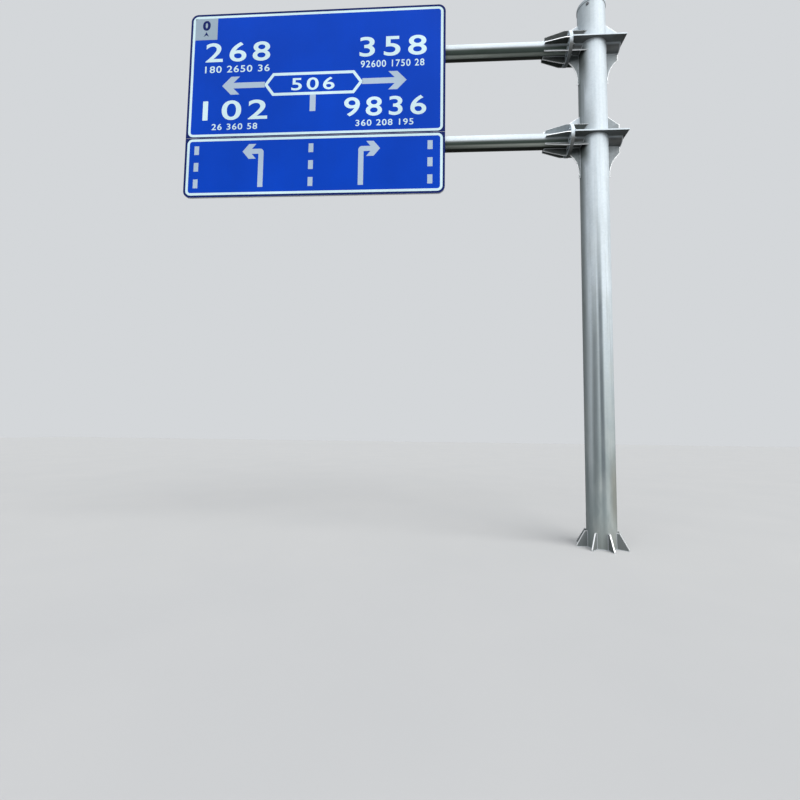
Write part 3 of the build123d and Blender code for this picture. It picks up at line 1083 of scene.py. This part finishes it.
grey = bmesh.new()
for way in (-1, 1):
    start = middle_line + way * (lozenge_reach - arrow_overlap)
    shaft = [(start, arrow_line - arrow_half), (start, arrow_line + arrow_half)]
    film(grey, arrow(middle_line + way * arrow_tip, arrow_line, way, arrow_half, barb_rise,
                     barb_back, barb_width, shaft), mark_layer)
film(grey, rectangle(middle_line - stem_half, lozenge_bottom, middle_line + stem_half, stem_end),
     mark_layer)
keep(grey, "road_arrows", grey_film)

north_start = margin + border_width
north_edge = 0.430
pointer_tip, pointer_notch, pointer_foot = 0.298, 0.348, 0.375
pointer_half = 0.044

square = bmesh.new()
film(square, rectangle(north_start, north_start, north_edge, north_edge), mark_layer)
keep(square, "north_square", north_film)

pointer = bmesh.new()
north_middle = (north_start + north_edge) / 2
film(pointer, [
    (north_middle, pointer_tip),
    (north_middle + pointer_half, pointer_foot),
    (north_middle, pointer_notch),
    (north_middle - pointer_half, pointer_foot),
], top_layer)
keep(pointer, "north_pointer", navy_film)


def number_film(shape, figures, box, layer, gap, bold):
    """Plain figures cut from film, set to fill a box given as left, top, right and bottom."""
    curve = bpy.data.curves.new("figures", "FONT")
    curve.body = figures
    curve.offset = bold
    curve.space_character = gap
    drawn = bpy.data.objects.new("figures", curve)
    flat = bpy.data.meshes.new_from_object(drawn)
    cut = bmesh.new()
    cut.from_mesh(flat)
    bpy.data.objects.remove(drawn)
    bpy.data.curves.remove(curve)
    bpy.data.meshes.remove(flat)
    bmesh.ops.remove_doubles(cut, verts=cut.verts, dist=0.0001)
    for face in cut.faces:
        face.smooth = False
    across = [vert.co.x for vert in cut.verts]
    upward = [vert.co.y for vert in cut.verts]
    left, top, right, bottom = box
    wider = (right - left) / (max(across) - min(across))
    taller = (bottom - top) / (max(upward) - min(upward))
    for vert in cut.verts:
        vert.co = on_sign(left + (vert.co.x - min(across)) * wider,
                          top + (max(upward) - vert.co.y) * taller, layer)
    thickened(cut)
    add_to(shape, cut)


large_gap, small_gap = 1.25, 1.15
figure_bold = 0.012
# Each line of figures: what it says, its box and the gap between its figures.
figure_lines = (
    ("268", (0.257, 0.486, 1.286, 0.809), large_gap),
    ("180 2650 36", (0.257, 0.872, 1.286, 0.985), small_gap),
    ("358", (2.686, 0.486, 3.714, 0.809), large_gap),
    ("92600 1750 28", (2.709, 0.872, 3.680, 0.985), small_gap),
    ("102", (0.251, 1.446, 1.274, 1.766), large_gap),
    ("26 360 58", (0.403, 1.823, 1.123, 1.923), small_gap),
    ("9836", (2.466, 1.457, 3.714, 1.766), large_gap),
    ("360 208 195", (2.646, 1.823, 3.523, 1.923), small_gap),
    ("506", (1.637, 1.114, 2.309, 1.317), large_gap),
)
figures = bmesh.new()
for says, box, gap in figure_lines:
    number_film(figures, says, box, mark_layer, gap, figure_bold)
keep(figures, "plain_figures", white_film)

north_figure_half = 0.062
north_figure_top, north_figure_foot = 0.108, 0.272
north_figure_bold = 0.045
north_figure = bmesh.new()
number_film(north_figure, "0", (north_middle - north_figure_half, north_figure_top,
                                north_middle + north_figure_half, north_figure_foot),
            top_layer, gap=1.0, bold=north_figure_bold)
keep(north_figure, "north_figure", navy_film)


# Lane panel: three columns of dashes and an arrow for each of the two lanes, one turning left
# and one turning right, cut from the same light film.
dash_columns = ((0.149, 0.222), (1.935, 2.009), (3.739, 3.815))
dash_rows = ((2.179, 2.318), (2.445, 2.585), (2.711, 2.852))
turn_axis = 1.969
turn_stem = 0.769
turn_half = 0.040
turn_tip = 1.058
turn_line = 2.282
turn_foot = 2.851
turn_barb_rise = 0.118
turn_barb_back = 0.098
turn_barb_width = 0.112
turn_corner = 0.055
turn_corner_number = 4

dashes = bmesh.new()
for left, right in dash_columns:
    for top, bottom in dash_rows:
        film(dashes, rectangle(left, top, right, bottom), mark_layer)
keep(dashes, "lane_dashes", grey_film)

turns = bmesh.new()
for way in (-1, 1):
    near_side = turn_axis + way * (turn_stem - turn_half)
    far_side = turn_axis + way * (turn_stem + turn_half)
    shaft = [
        (near_side, turn_line - turn_half),
        (near_side, turn_foot),
        (far_side, turn_foot),
        (far_side, turn_line + turn_half),
    ]
    film(turns, arrow(turn_axis + way * turn_tip, turn_line, way, turn_half, turn_barb_rise,
                      turn_barb_back, turn_barb_width, shaft),
         mark_layer, turn_corner, (turn_corner_number,))
keep(turns, "turn_arrows", grey_film)
